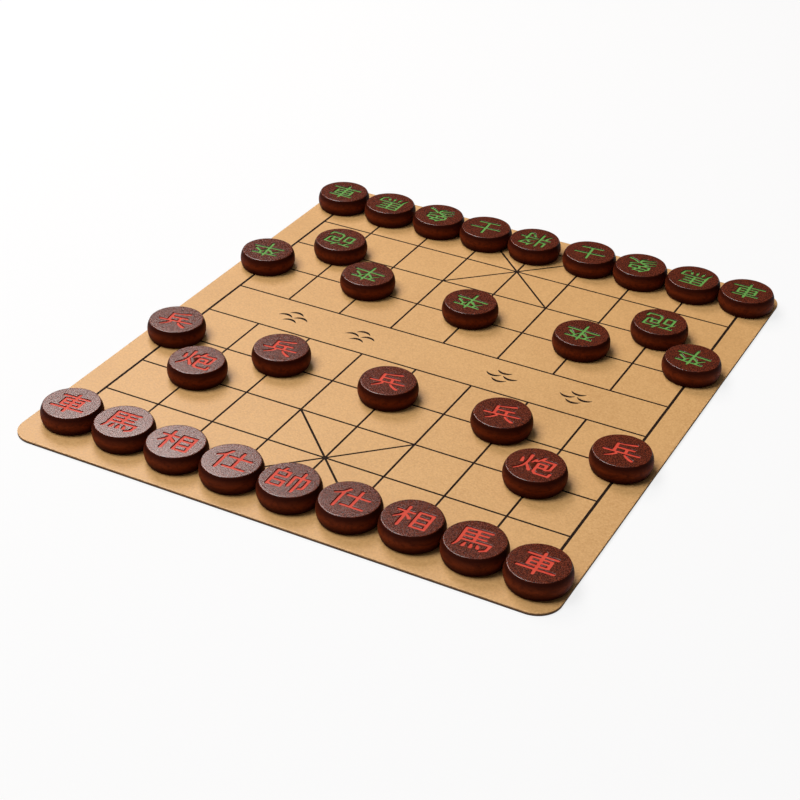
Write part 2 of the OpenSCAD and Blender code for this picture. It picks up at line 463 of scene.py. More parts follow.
@dataclass(frozen=True)
class PrintInk:
    """Dark brown ink pressed into the sheet, a little thinner where the grain stands up."""

    colour: Colour = (0.011, 0.005, 0.003)
    thin: Colour = (0.050, 0.024, 0.011)
    grain_size: float = 0.9 * MM
    grain_depth: float = 0.03 * MM

    def material(self) -> bpy.types.Material:
        """Builds the material.

        Returns:
            The material.
        """
        f = Finish("print_ink")
        grain = f.noise(1 / self.grain_size, 3.0, 0.6)
        colour = f.mix(f.spread(grain, 0.50, 0.72), self.colour, self.thin)
        normal = f.relief(grain, self.grain_depth)
        return f.set(Base_Color=colour, Roughness=0.7, Normal=normal, Specular_IOR_Level=0.12)


@dataclass(frozen=True)
class NappedBacking:
    """Dark brown artificial suede with a short, brushed nap."""

    colour: Colour = (0.050, 0.021, 0.009)
    raised: Colour = (0.105, 0.048, 0.021)
    nap_size: float = 0.5 * MM
    nap_depth: float = 0.12 * MM
    brushed_a_metre: float = 35.0
    sheen: float = 0.25

    def material(self) -> bpy.types.Material:
        """Builds the material.

        Returns:
            The material.
        """
        f = Finish("napped_backing")
        fibres = f.noise(1 / self.nap_size, 5.0, 0.65)
        brushed = f.noise(self.brushed_a_metre, 2.0, 0.5)
        own, lane = f.spread(fibres, 0.35, 0.7, 0.0, 0.6), f.spread(brushed, 0.4, 0.65, 0.0, 0.4)
        colour = f.mix(f.math("ADD", own, lane), self.colour, self.raised)
        normal = f.relief(fibres, self.nap_depth)
        return f.set(Base_Color=colour, Roughness=0.95, Normal=normal, Sheen_Weight=self.sheen)


@dataclass(frozen=True)
class StainedWood:
    """Dark red-brown stained wood, with its own tone and its own run of the grain on every disc.

    Attributes:
        name: The material's name.
        colour: The stain.
        dark_stain_and_painted_shade: The stain in pores; also the painted shade in the stipple's hollows and
            on the side away from the painted bounce light.
        warm: The stain where the grain took less of it.
        figure: How much of the grain shows.
        pit_painted_shade: How dark the hollows of the stipple are painted, a painted shade in the pits that
            stands in for the stipple's glints.
        painted_bounce_half: Half the height of the lighter band round the disc's side, a painted bounce light
            from the mat with painted shade towards the rims; zero gives none.
        stipple_size: The size of one grain of the stipple.
        stipple_depth: The depth of its relief.
        roughness: The roughness of the surface.
        gloss: The specular level.
        lacquer: The weight of the clear coat.
        painted_bounce_height: The height of the middle of the lighter band of painted bounce light.
        grain_a_metre: How many bands of the grain lie across a metre.
        pores_a_metre: How many pores lie across a metre.
        stretch: How much shorter the grain's pattern repeats along it than across it.
    """

    name: str
    colour: Colour
    dark_stain_and_painted_shade: Colour
    warm: Colour
    figure: float
    pit_painted_shade: float
    painted_bounce_half: float
    stipple_size: float
    stipple_depth: float
    roughness: float
    gloss: float
    lacquer: float
    painted_bounce_height: float = 8.8 * MM
    grain_a_metre: float = 420.0
    pores_a_metre: float = 2600.0
    stretch: float = 0.12

    def material(self) -> bpy.types.Material:
        """Builds the material.

        Returns:
            The material.
        """
        f = Finish(self.name)
        own = f.add("ShaderNodeAttribute", attribute_name=OWN_NUMBER).outputs["Fac"]
        moved = f.vector_math("ADD", f.place, f.vector(own, own, own))
        turn = {"Vector": moved, "Angle": f.math("MULTIPLY", own, math.tau)}
        turned = f.made("ShaderNodeVectorRotate", turn, rotation_type="Z_AXIS")
        drawn_out = {"Vector": turned, "Scale": (1.0, self.stretch, 1.0)}
        along = f.made("ShaderNodeMapping", drawn_out)
        grain = f.noise(self.grain_a_metre, 4.0, 0.6, along)
        pores = f.noise(self.pores_a_metre, 1.0, 0.4, along)
        stipple = f.noise(1 / self.stipple_size, 2.0, 0.6)
        tone = f.mix(f.spread(grain, 0.38, 0.66), self.colour, self.warm)
        tone = f.mix(f.spread(grain, 0.50, 0.30, 0.0, self.figure), tone, self.dark_stain_and_painted_shade)
        tone = f.mix(f.spread(pores, 0.60, 0.72, 0.0, self.figure), tone, self.dark_stain_and_painted_shade)
        tone = f.mix(f.spread(own, 0.0, 1.0, 0.0, 0.2 * self.figure), tone, self.dark_stain_and_painted_shade)
        # Painted shade: the hollows of the stipple are darkened in the colour, and their contrast stands in
        # for the glints of the stipple.
        tone = f.mix(f.spread(stipple, 0.57, 0.43, 0.0, self.pit_painted_shade), tone, self.dark_stain_and_painted_shade)
        # Painted bounce light and painted shade: the side is darkened away from a band at its belly, so the
        # band reads as light thrown up from the mat and the side as shaded towards the rims.
        if self.painted_bounce_half:
            away_from_painted_bounce = f.math("ABSOLUTE", f.math("SUBTRACT", f.upward(f.place), self.painted_bounce_height))
            tone = f.mix(f.spread(away_from_painted_bounce, 0.15 * self.painted_bounce_half, self.painted_bounce_half), tone, self.dark_stain_and_painted_shade)
        pits = f.math("SUBTRACT", stipple, f.spread(pores, 0.6, 0.75, 0.0, 0.1))
        normal = f.relief(pits, self.stipple_depth)
        rough = f.spread(stipple, 0.35, 0.65, self.roughness - 0.05, self.roughness + 0.08)
        return f.set(
            Base_Color=tone,
            Roughness=rough,
            Normal=normal,
            Specular_IOR_Level=self.gloss,
            Coat_Weight=self.lacquer,
            Coat_Roughness=self.roughness,
        )


LACQUERED = StainedWood(
    name="lacquered_wood",
    colour=(0.185, 0.0280, 0.0070),
    dark_stain_and_painted_shade=(0.036, 0.0060, 0.0025),
    warm=(0.205, 0.0320, 0.0080),
    figure=0.15,
    pit_painted_shade=0.95,
    painted_bounce_half=0.0,
    stipple_size=0.68 * MM,
    stipple_depth=0.10 * MM,
    roughness=0.22,
    gloss=0.5,
    lacquer=0.4,
)
# The side wood: its colour is set darker than the lacquered top's as a painted shade on the sides, and it
# carries the painted bounce band at the belly.
PLAIN_WITH_PAINTED_LIGHT = StainedWood(
    name="plain_wood_with_painted_light",
    colour=(0.150, 0.025, 0.0070),
    dark_stain_and_painted_shade=(0.040, 0.0065, 0.0030),
    warm=(0.185, 0.033, 0.0090),
    figure=0.6,
    pit_painted_shade=0.12,
    painted_bounce_half=4.2 * MM,
    stipple_size=0.7 * MM,
    stipple_depth=0.025 * MM,
    roughness=0.55,
    gloss=0.03,
    lacquer=0.0,
)


@dataclass(frozen=True)
class CarvedPaint:
    """Satin paint run into the carved strokes, with a painted shade on their steep walls."""

    name: str
    colour: Colour
    thin: Colour
    # wall is a painted shade on the carving's steep faces, not a colour of the paint.
    wall: Colour
    pools_a_metre: float = 260.0
    ripples_a_metre: float = 1500.0
    ripple_depth: float = 0.02 * MM

    def material(self) -> bpy.types.Material:
        """Builds the material.

        Returns:
            The material.
        """
        f = Finish(self.name)
        pooled = f.noise(self.pools_a_metre, 3.0, 0.5)
        ripples = f.noise(self.ripples_a_metre, 2.0, 0.5)
        flat = f.mix(f.spread(pooled, 0.42, 0.72, 0.0, 0.5), self.colour, self.thin)
        face = f.add("ShaderNodeNewGeometry").outputs["True Normal"]
        # Painted shade: the steep faces of the carving take the dark wall colour, the shade inside the
        # grooves.
        colour = f.mix(f.spread(f.upward(face), 0.5, 0.95), self.wall, flat)
        normal = f.relief(ripples, self.ripple_depth)
        return f.set(Base_Color=colour, Roughness=0.45, Normal=normal, Specular_IOR_Level=0.2)


RED_PAINT = CarvedPaint(
    name="red_paint",
    colour=(0.74, 0.082, 0.046),
    thin=(0.60, 0.042, 0.025),
    wall=(0.120, 0.006, 0.005),
)
GREEN_PAINT = CarvedPaint(
    name="green_paint",
    colour=(0.155, 0.395, 0.085),
    thin=(0.110, 0.29, 0.058),
    wall=(0.018, 0.06, 0.012),
)


class Army(Enum):
    """The two sides of the set."""

    RED = "red"
    GREEN = "green"

    @property
    def paint(self) -> CarvedPaint:
        """The paint in this side's characters."""
        return RED_PAINT if self is Army.RED else GREEN_PAINT

    @property
    def stroke_width(self) -> float:
        """The width of a stroke carved on this side's discs."""
        return 2.5 * MM if self is Army.RED else 2.2 * MM

    @property
    def facing(self) -> float:
        """The angle through which this side's discs are turned to face their player."""
        return 0.0 if self is Army.RED else math.pi


class Brush(Enum):
    """How wide a carved stroke is at its start and at its end, as shares of the usual width."""

    EVEN = (1.0, 1.0)
    THINNING = (1.1, 0.72)
    SWELLING = (0.75, 1.15)


@dataclass(frozen=True)
class Stroke:
    """One stroke of a character, a chain of points in a square of 100 units."""

    brush: Brush
    points: tuple[Point, ...]
    curved: bool

    def path(self) -> list[tuple[float, float, float]]:
        """The stroke as it is cut, rounded off if it is curved.

        Returns:
            Its points, each x, y and the share of the usual width.
        """
        chain = [Vector(p) for p in self.points]
        if self.curved and len(chain) > 2:
            chain = smooth(chain)
        first, last = self.brush.value
        lengths = [0.0]
        for a, b in zip(chain, chain[1:]):
            lengths.append(lengths[-1] + (b - a).length)
        return [(p.x, p.y, first + (last - first) * d / lengths[-1]) for p, d in zip(chain, lengths)]


def smooth(chain: list[Vector], steps: int = 5) -> list[Vector]:
    """A flowing curve through the points of a chain, which leaves each along the line of its neighbours.

    Args:
        chain: The points.
        steps: The number of points from one of them to the next.

    Returns:
        The points of the curve.
    """
    ends = [chain[0], *chain, chain[-1]]
    flowing = [chain[0]]
    for before, a, b, after in zip(ends, ends[1:], ends[2:], ends[3:]):
        arc = interpolate_bezier(a, a + (b - before) / 6, b - (after - a) / 6, b, steps)
        flowing += arc[1:]
    return flowing


def pairs(numbers: Sequence[float]) -> tuple[Point, ...]:
    """Numbers taken two by two as points."""
    return tuple(zip(numbers[::2], numbers[1::2]))


def bar(*numbers: float) -> Stroke:
    """A stroke of even width with sharp bends."""
    return Stroke(Brush.EVEN, pairs(numbers), curved=False)


def sweep(*numbers: float) -> Stroke:
    """A flowing stroke that thins to its tip."""
    return Stroke(Brush.THINNING, pairs(numbers), curved=True)


def press(*numbers: float) -> Stroke:
    """A flowing stroke or dot that swells to its end."""
    return Stroke(Brush.SWELLING, pairs(numbers), curved=True)


CANNON_BODY = (
    sweep(60, 95, 46, 68),
    bar(56, 82, 92, 82, 90, 44, 80, 38),
    bar(54, 63, 76, 63, 76, 42, 54, 42),
    bar(54, 63, 54, 18, 62, 9, 96, 9, 98, 24),
)
CHARACTERS = {
    "chariot": (
        bar(12, 84, 86, 84), bar(24, 53, 76, 53), bar(4, 20, 96, 20), bar(50, 100, 50, 0),
        bar(24, 70, 76, 70, 76, 36, 24, 36, 24, 70),
    ),
    "horse": (
        bar(14, 94, 14, 40, 92, 40, 88, 14, 76, 6), bar(14, 94, 80, 94), bar(14, 76, 74, 76),
        bar(14, 58, 74, 58), bar(48, 94, 48, 40), sweep(14, 42, 13, 22, 7, 5), press(32, 26, 30, 11),
        press(48, 26, 49, 12), press(63, 27, 67, 15),
    ),
    "red_elephant": (
        bar(4, 72, 46, 72), bar(26, 97, 26, 3), sweep(25, 68, 17, 50, 4, 36), press(31, 58, 43, 44),
        bar(58, 84, 94, 84, 94, 12, 58, 12, 58, 84), bar(58, 60, 94, 60), bar(58, 36, 94, 36),
    ),
    "red_advisor": (
        sweep(33, 95, 22, 76, 4, 62), bar(24, 78, 24, 3), bar(38, 68, 97, 68), bar(66, 97, 66, 18),
        bar(40, 18, 98, 18),
    ),
    "red_general": (
        sweep(22, 99, 17, 86), bar(5, 8, 5, 84, 38, 84, 38, 58, 5, 58),
        bar(5, 36, 40, 36, 40, 10, 5, 10), bar(57, 22, 57, 72, 96, 72, 96, 26, 88, 22),
        bar(76, 98, 76, 0),
    ),
    "red_cannon": (
        sweep(25, 95, 25, 56, 18, 28, 4, 8), press(27, 44, 42, 18), press(7, 72, 10, 52),
        sweep(42, 76, 36, 60), *CANNON_BODY,
    ),
    "red_soldier": (
        sweep(76, 95, 55, 89, 29, 85), bar(29, 85, 29, 40), bar(29, 64, 78, 64), bar(60, 64, 60, 40),
        bar(3, 40, 97, 40), sweep(38, 30, 28, 18, 15, 8), press(62, 30, 72, 18, 86, 8),
    ),
    "green_elephant": (
        sweep(42, 99, 24, 80), bar(38, 92, 66, 92, 56, 78), bar(22, 77, 80, 77, 80, 57, 22, 57, 22, 77),
        bar(51, 77, 51, 57), sweep(46, 57, 28, 44, 8, 36), sweep(32, 44, 52, 34, 58, 20, 54, 8, 42, 3),
        sweep(48, 32, 10, 18), sweep(54, 18, 16, 3), sweep(84, 46, 62, 36),
        press(60, 34, 76, 17, 94, 8),
    ),
    "green_advisor": (
        bar(4, 57, 96, 57), bar(50, 97, 50, 13), bar(18, 13, 82, 13),
    ),
    "green_general": (
        bar(34, 98, 34, 2), bar(12, 92, 12, 62, 34, 62), bar(4, 40, 34, 40),
        sweep(18, 40, 16, 22, 8, 6), sweep(60, 99, 46, 78), bar(57, 90, 88, 90),
        sweep(88, 90, 74, 66, 48, 52), press(58, 76, 66, 70), bar(44, 40, 97, 40),
        bar(78, 54, 78, 6, 66, 8), press(54, 28, 61, 18),
    ),
    "green_cannon": (
        bar(6, 84, 42, 84), sweep(25, 84, 18, 66, 6, 50), bar(15, 54, 38, 54, 38, 18, 15, 18, 15, 54),
        *CANNON_BODY,
    ),
    "green_soldier": (
        press(50, 98, 50, 84), bar(12, 82, 88, 82), sweep(33, 80, 24, 64, 12, 50),
        press(30, 66, 44, 52), sweep(68, 80, 64, 66, 56, 54), press(66, 68, 86, 50), bar(4, 34, 96, 34),
        bar(50, 82, 50, 0),
    ),
}
CHARACTER_CENTRE = Vector((50.0, 50.0))
CHARACTER_ASPECT = 0.86
TURNS = {
    "red_chariot": (3.5, 1),
    "red_horse": (3, 3),
    "red_elephant": (3, 1),
    "red_advisor": (2, 0),
    "red_general": (2,),
    "red_cannon": (3, 0),
    "red_soldier": (8, 5, 6, 6, 2),
    "green_chariot": (0, 0),
    "green_horse": (0, -3),
    "green_elephant": (0, 3),
    "green_advisor": (3, 4),
    "green_general": (0,),
    "green_cannon": (-3, -2),
    "green_soldier": (6, -3, -3, -2, -5),
}


def skeleton_mesh(
    name: str, chains: Iterable[Sequence[tuple[float, ...]]], numbers: Sequence[str]
) -> bpy.types.Mesh:
    """A mesh of bare edges that carries numbers on its points.

    Args:
        name: The mesh's name.
        chains: Lists of points, each x, y and then one value for each of the numbers.
        numbers: The names of the values.

    Returns:
        The mesh, with an edge between the points of each chain.
    """
    points: list[tuple[float, ...]] = []
    edges: list[tuple[int, int]] = []
    for chain in chains:
        first = len(points)
        points += chain
        edges += [(i, i + 1) for i in range(first, len(points) - 1)]
    mesh = bpy.data.meshes.new(name)
    mesh.from_pydata([(p[0], p[1], 0.0) for p in points], edges, [])
    for i, number in enumerate(numbers):
        values = mesh.attributes.new(number, "FLOAT", "POINT").data
        values.foreach_set("value", [p[2 + i] for p in points])
    return mesh


def add_piece(name: str, mesh: bpy.types.Mesh, body: str, node: str) -> bpy.types.Object:
    """Puts a finished mesh into the scene in place of a CAD node.

    Args:
        name: The piece's name.
        mesh: Its mesh, in the row frame.
        body: The body that it rides on.
        node: The CAD node that it stands for.

    Returns:
        The new object.
    """
    piece = in_scene(name, mesh)
    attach(piece, body)
    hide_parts(node)
    LOG.info("%s rides on %s, %d faces", name, body, len(mesh.polygons))
    return piece


def soften(mesh: bpy.types.Mesh, angle: float = math.radians(28)) -> None:
    """Shades a mesh smoothly.

    Args:
        mesh: The mesh.
        angle: The angle past which an edge stays sharp.
    """
    mesh.polygons.foreach_set("use_smooth", [True] * len(mesh.polygons))
    mesh.set_sharp_from_angle(angle=angle)
    mesh.update()


@dataclass
class Disc:
    """A turned disc: a bulging side, rounded rims, and a character carved into its top.

    Attributes:
        taper: How far the foot and the top face lie inside the belly.
        shoulder: How far inside the rims the turned profile begins.
        margin: The plain ring round the character.
        floor_share: The width of a stroke's floor, as a share of its width at the surface.
        lip_share: How far the eased lip reaches past a stroke's half width, as a share of it.
        lip_depth: The depth that the lip's bit cuts, as a share of the carving's depth.
        overshoot: How far a bit stands above the surface, as a share of the carving's depth.
        level_step: How much shallower each next stroke is, so that no two floors lie in one plane.
        levels: After how many strokes the depth starts again.
        crease: The angle past which an edge is sharp.
    """

    diameter: float
    height: float
    lacquered: bpy.types.Material
    # plain is the side wood, with painted shade and painted bounce light in its colour.
    plain: bpy.types.Material
    taper: float = 1.8 * MM
    rim_radius: float = 0.6 * MM
    shoulder: float = 0.5 * MM
    carve_depth: float = 0.6 * MM
    margin: float = 3.0 * MM
    floor_share: float = 0.83
    lip_share: float = 0.10
    lip_depth: float = 0.3
    overshoot: float = 0.4
    level_step: float = 0.02
    levels: int = 4
    sides: int = 160
    side_steps: int = 18
    rim_steps: int = 7
    drill_sides: int = 20
    crease: float = math.radians(20)
    tree: GeometryGraph = field(init=False)

    def __post_init__(self) -> None:
        """Builds the tree that every disc is made with."""
        self.tree = self.carved_disc()

    @property
    def side_radius(self) -> float:
        """Radius of the arc that is the disc's side."""
        half = self.height / 2
        return (half * half + self.taper * self.taper) / (2 * self.taper)

    @property
    def rim_angle(self) -> float:
        """Angle above the horizon at which the side turns into the rim."""
        rise = self.height / 2 - self.rim_radius
        return math.asin(rise / (self.side_radius - self.rim_radius))

    @property
    def rim_centre(self) -> float:
        """Distance of the rim's centre from the disc's axis."""
        reach = (self.side_radius - self.rim_radius) * math.cos(self.rim_angle)
        return self.diameter / 2 - self.side_radius + reach

    def unit(self, width: float) -> float:
        """The size of one unit of the character square.

        Args:
            width: The width of the strokes, which have to stay inside the margin.

        Returns:
            The size in metres, the same for all characters.
        """
        ends = [p for strokes in CHARACTERS.values() for stroke in strokes for p in stroke.points]
        reach = max(self.from_centre(p).length for p in ends)
        face = self.diameter / 2 - self.taper
        return (face - self.margin - width / 2) / reach

    @staticmethod
    def from_centre(point: Point) -> Vector:
        """A point of the character square measured from its middle."""
        offset = Vector(point) - CHARACTER_CENTRE
        return Vector((offset.x, offset.y * CHARACTER_ASPECT))

    def carved_disc(self) -> GeometryGraph:
        """Builds the geometry node tree of a disc.

        Returns:
            The tree, which takes the character's strokes as its skeleton.
        """
        g = GeometryGraph("carved disc")
        height = g.input("Height")
        depth = g.input("Carve Depth")
        names = ("Lacquered Wood", "Plain Wood With Painted Light", "Paint")
        lacquered, plain, paint = (g.input(name, "NodeSocketMaterial") for name in names)
        blank = self.turned_blank(g, height)
        half_width = g.named("half_width")
        scale = g.vector(half_width, half_width, g.math("DIVIDE", g.named("depth"), depth))
        top = g.vector(z=height)
        groove, lip = (g.moved(g.swept(bit, scale), top) for bit in self.drills(g, depth))
        carved = g.cut(g.painted(blank, lacquered), {groove: paint, lip: lacquered})
        place = g.made("GeometryNodeInputPosition")
        flat = g.vector_math("MULTIPLY", place, (1.0, 1.0, 0.0))
        distance = g.add("ShaderNodeVectorMath", {0: flat}, operation="LENGTH").outputs["Value"]
        g.finish(carved, plain, g.test("GREATER_THAN", distance, g.input("Side Begins")))
        return g

    def turned_blank(self, g: GeometryGraph, height: Socket) -> Socket:
        """The disc before carving: a profile of three arcs turned round the axis and closed.

        Args:
            g: The disc's tree.
            height: The disc's height.

        Returns:
            The solid disc.
        """
        names = ("Side Radius", "Side Centre", "Rim Radius", "Rim Centre", "Rim Angle", "Shoulder")
        radius, side_centre, rim_radius, rim_centre, angle, shoulder = (g.input(name) for name in names)
        quarter = math.pi / 2
        half = g.math("DIVIDE", height, 2.0)
        path_radius = g.math("SUBTRACT", rim_centre, shoulder)
        down = g.math("MULTIPLY", angle, -1.0)
        rest = g.math("SUBTRACT", quarter, angle)
        side = g.arc(self.side_steps, radius, down, g.math("MULTIPLY", angle, 2.0))
        low_rim = g.arc(self.rim_steps, rim_radius, -quarter, rest)
        high_rim = g.arc(self.rim_steps, rim_radius, angle, rest)
        out = g.math("SUBTRACT", rim_centre, path_radius)
        high = g.math("SUBTRACT", height, rim_radius)
        profile = g.joined(
            g.line((0.0, 0.0, 0.0), g.vector(out)),
            g.moved(low_rim, g.vector(out, rim_radius)),
            g.moved(side, g.vector(g.math("SUBTRACT", side_centre, path_radius), half)),
            g.moved(high_rim, g.vector(out, high)),
            g.line(g.vector(out, height), g.vector(0.0, height)),
        )
        circle = {"Resolution": self.sides, "Radius": path_radius}
        path = g.made("GeometryNodeCurvePrimitiveCircle", circle, mode="RADIUS")
        return g.solid(path, profile, height)

    def drills(self, g: GeometryGraph, depth: Socket) -> list[Socket]:
        """The two round bits that cut a stroke, for the groove and for the eased lip.

        Args:
            g: The disc's tree.
            depth: The depth of the carving.

        Returns:
            The bits, one unit in radius at the surface and scaled to a stroke's half width later.
        """
        over = self.overshoot
        slope = 1 - self.floor_share
        lip_edge = 1 + self.lip_share
        shapes = (
            (self.floor_share, 1 + slope * over, 1.0),
            (lip_edge - self.lip_depth, lip_edge + over, self.lip_depth),
        )
        bits = []
        for low, high, share in shapes:
            bit = {
                "Vertices": self.drill_sides,
                "Radius Top": high,
                "Radius Bottom": low,
                "Depth": g.math("MULTIPLY", depth, share + over),
            }
            cone = g.add("GeometryNodeMeshCone", bit).outputs["Mesh"]
            bits.append(g.moved(cone, g.vector(z=g.math("MULTIPLY", depth, -share))))
        return bits

    def skeleton(self, strokes: Sequence[Stroke], width: float) -> bpy.types.Mesh:
        """The character's strokes at their real size.

        Args:
            strokes: The strokes.
            width: The usual width of one.

        Returns:
            Their chains of edges, with the half width and the depth of the cut at each point.
        """
        unit = self.unit(width)
        chains = []
        for i, stroke in enumerate(strokes):
            depth = self.carve_depth * (1.0 - self.level_step * (i % self.levels))
            chain = []
            for x, y, share in stroke.path():
                spot = self.from_centre((x, y)) * unit
                chain.append((spot.x, spot.y, share * width / 2, depth))
            chains.append(chain)
        return skeleton_mesh("strokes", chains, ("half_width", "depth"))

    def carve(self, strokes: Sequence[Stroke], width: float, paint: bpy.types.Material) -> bpy.types.Mesh:
        """Makes one disc, standing on the origin.

        Args:
            strokes: The strokes of its character.
            width: The usual width of a stroke.
            paint: The material in the carving.

        Returns:
            The disc's mesh.
        """
        values = {
            "Height": self.height,
            "Carve Depth": self.carve_depth,
            "Lacquered Wood": self.lacquered,
            "Plain Wood With Painted Light": self.plain,
            "Paint": paint,
            "Side Radius": self.side_radius,
            "Side Centre": self.diameter / 2 - self.side_radius,
            "Rim Radius": self.rim_radius,
            "Rim Centre": self.rim_centre,
            "Rim Angle": self.rim_angle,
            "Shoulder": self.shoulder,
            "Side Begins": self.rim_centre + self.rim_radius * math.cos(self.rim_angle),
        }
        mesh = self.tree.build(self.skeleton(strokes, width), values)
        soften(mesh, self.crease)
        return mesh


@dataclass
class Armies:
    """Both sides' discs, each standing where the frame has it and turned as it was set down."""

    frame: dict
    disc: Disc

    def build(self) -> None:
        """Carves each character once and sets a copy down for every disc that has it."""
        paints = {army: army.paint.material() for army in Army}
        blanks: dict[tuple[Army, str], bpy.types.Mesh] = {}
        discs = [body for body in self.frame["bodies"] if body != BOARD_BODY]
        for number, body in enumerate(discs):
            side, rank, *place = body.split("_")
            army = Army(side)
            if (army, rank) not in blanks:
                strokes = CHARACTERS.get(rank) or CHARACTERS[f"{side}_{rank}"]
                blanks[army, rank] = self.disc.carve(strokes, army.stroke_width, paints[army])
            turn = TURNS[f"{side}_{rank}"][self.order(place)]
            low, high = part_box(body)
            spot = Matrix.Translation(((low.x + high.x) / 2, (low.y + high.y) / 2, low.z))
            mesh = blanks[army, rank].copy()
            mesh.transform(spot @ Matrix.Rotation(army.facing + math.radians(turn), 4, "Z"))
            share = (number * GOLDEN) % 1.0
            own = mesh.attributes.new(OWN_NUMBER, "FLOAT", "POINT")
            own.data.foreach_set("value", [share] * len(mesh.vertices))
            add_piece(f"{body}_carved", mesh, body, body)

    @staticmethod
    def order(place: Sequence[str]) -> int:
        """Which of its kind a disc is.

        Args:
            place: What follows the rank in its name: left, right, a number, or nothing.

        Returns:
            Its place in the row of its kind, counted from the left and from zero.
        """
        if not place:
            return 0
        return {"left": 0, "right": 1}[place[0]] if place[0].isalpha() else int(place[0]) - 1


@dataclass
class Grid:
    """The printed grid: its lines, the palace crosses and the river ornament."""

    pitch: float = 41.0 * MM
    shift: float = 6.5 * MM
    line: float = 1.5 * MM
    frame_line: float = 1.9 * MM
    files: int = 9
    ranks: int = 10
    palace_files: tuple[int, int] = (3, 5)
    palace_ranks: tuple[int, int] = (0, 7)
    wave_width: float = 11.0 * MM
    wave_height: float = 4.0 * MM
    wave_line: float = 2.2 * MM
    wave_gap: float = 1.2 * MM
    wave_step: float = 1.35
    wave_rows: tuple[int, ...] = (1, 2, 1)
    river_places: tuple[float, ...] = (-2.6, -1.3, 1.3, 2.6)

    def at(self, file: float, rank: float) -> Vector:
        """The place of a crossing."""
        x = (file - (self.files - 1) / 2) * self.pitch
        return Vector((x, (rank - (self.ranks - 1) / 2) * self.pitch + self.shift))

    def bars(self) -> list[tuple[Vector, Vector, float]]:
        """Every straight line of the print.

        Returns:
            The two ends of each line and the side of the square stamp that draws it.
        """
        last_file, last_rank, river = self.files - 1, self.ranks - 1, self.ranks // 2 - 1
        lines = [((0, r), (last_file, r), self.line) for r in range(1, last_rank)]
        for f in range(1, last_file):
            lines += [((f, 0), (f, river), self.line), ((f, river + 1), (f, last_rank), self.line)]
        slanting = self.line / math.sqrt(2)
        left, right = self.palace_files
        for r in self.palace_ranks:
            far = r + right - left
            lines += [((left, r), (right, far), slanting), ((right, r), (left, far), slanting)]
        lines += [((0, r), (last_file, r), self.frame_line) for r in (0, last_rank)]
        lines += [((f, 0), (f, last_rank), self.frame_line) for f in (0, last_file)]
        return [(self.at(*a), self.at(*b), width) for a, b, width in lines]

    def waves(self) -> list[tuple[Vector, float]]:
        """Every wave of the river ornament.

        Returns:
            The place and the turn of each.
        """
        middle = (len(self.wave_rows) - 1) / 2
        river = (self.ranks - 1) / 2
        waves = []
        for place in self.river_places:
            turn = 0.0 if place < 0 else math.pi
            for row, count in enumerate(self.wave_rows):
                for i in range(count):
                    x = (i - (count - 1) / 2) * (self.wave_width + self.wave_gap)
                    y = (middle - row) * self.wave_height * self.wave_step - self.wave_height / 2
                    spot = Matrix.Rotation(turn, 2) @ Vector((x, y))
                    waves.append((self.at((self.files - 1) / 2 + place, river) + spot, turn))
        return waves


@dataclass
class Sheet:
    """One of the board's two bonded sheets: flat, with round corners and eased edges."""

    node: str
    name: str
    slot: str
    high_ease: float
    low_ease: float
    corner_radius: float = 16.0 * MM
    inset: float = 1.0 * MM
    ease_steps: int = 5
    corner_steps: int = 28

    def __post_init__(self) -> None:
        """Takes the sheet's place and size from the frame."""
        low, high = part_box(self.node)
        self.size = high - low
        self.foot = Vector(((low.x + high.x) / 2, (low.y + high.y) / 2, low.z))

    def blank(self, g: GeometryGraph) -> Socket:
        """The plain sheet, centred on the origin with its underside at zero.

        Args:
            g: The sheet's tree.

        Returns:
            The solid sheet.
        """
        width, length, thickness = (g.input(name) for name in ("Width", "Length", "Thickness"))
        corner, low, high = (g.input(name) for name in ("Corner Radius", "Low Ease", "High Ease"))
        sides = {"Width": g.math("SUBTRACT", width, 2 * self.inset)}
        sides["Height"] = g.math("SUBTRACT", length, 2 * self.inset)
        outline = g.made("GeometryNodeCurvePrimitiveQuadrilateral", sides, mode="RECTANGLE")
        rounding = {"Curve": outline, "Count": self.corner_steps}
        rounding["Radius"] = g.math("SUBTRACT", corner, self.inset)
        path = g.made("GeometryNodeFilletCurve", rounding, mode="POLY")
        quarter = math.pi / 2
        low_x, high_x = (g.math("SUBTRACT", self.inset, ease) for ease in (low, high))
        shoulder = g.math("SUBTRACT", thickness, high)
        profile = g.joined(
            g.line((0.0, 0.0, 0.0), g.vector(low_x)),
            g.moved(g.arc(self.ease_steps, low, -quarter, quarter), g.vector(low_x, low)),
            g.line(g.vector(self.inset, low), g.vector(self.inset, shoulder)),
            g.moved(g.arc(self.ease_steps, high, 0.0, quarter), g.vector(high_x, shoulder)),
            g.line(g.vector(high_x, thickness), g.vector(0.0, thickness)),
        )
        return g.solid(path, profile, thickness)

    def set_down(self, g: GeometryGraph, skeleton: bpy.types.Mesh, values: dict[str, Wire]) -> None:
        """Args:
            g: The tree.
            skeleton: The mesh that the tree starts from.
            values: The values of the inputs that are not the blank's.
        """
        sizes = {
            "Width": self.size.x,
            "Length": self.size.y,
            "Thickness": self.size.z,
            "Corner Radius": self.corner_radius,
            "Low Ease": self.low_ease,
            "High Ease": self.high_ease,
        }
        mesh = g.build(skeleton, {**sizes, **values})
        mesh.transform(Matrix.Translation(self.foot))
        soften(mesh)
        piece = add_piece(self.name, mesh, BOARD_BODY, self.node)


@dataclass
class Backing(Sheet):
    """The dark sheet under the board."""

    def build(self, suede: bpy.types.Material) -> None:
        """Makes the sheet and dresses it.

        Args:
            suede: The material of all its faces.
        """
        g = GeometryGraph("backing sheet")
        dress = g.input("Suede", "NodeSocketMaterial")
        g.finish(self.blank(g), dress)
        self.set_down(g, skeleton_mesh("nothing", [], ()), {"Suede": suede})


